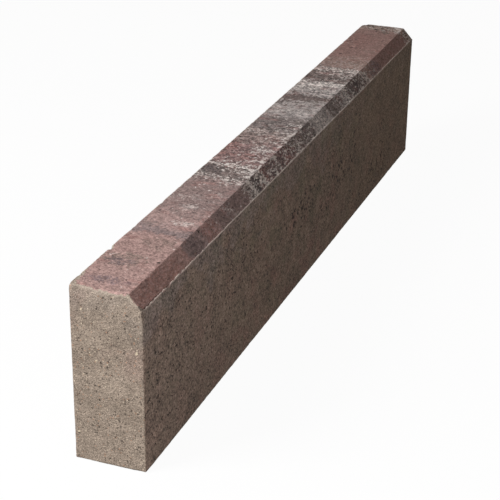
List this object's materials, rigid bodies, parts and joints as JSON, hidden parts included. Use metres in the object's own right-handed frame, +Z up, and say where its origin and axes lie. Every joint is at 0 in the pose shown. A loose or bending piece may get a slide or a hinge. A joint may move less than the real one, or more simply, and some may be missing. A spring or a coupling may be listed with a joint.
{
  "type": "kerb stone",
  "caption": "Upright concrete kerb stone: a long straight block with one bevelled top edge, laid end to end to border paving or a path.",
  "frame": {"origin": "middle of the bed, the face that the stone stands on", "axes": "+X along the length, -Y out of the road face with the bevel, +Y out of the plain back face, +Z up"},
  "size_m": [1, 0.08, 0.2],
  "materials": {
    "concrete": "matt pressed concrete, sandy grey-brown with fine pores, and a mottled red-brown, charcoal and off-white facing on the top and bevel"
  },
  "bodies": {
    "root": {"kerb_stone": "concrete"}
  },
  "joints": []
}
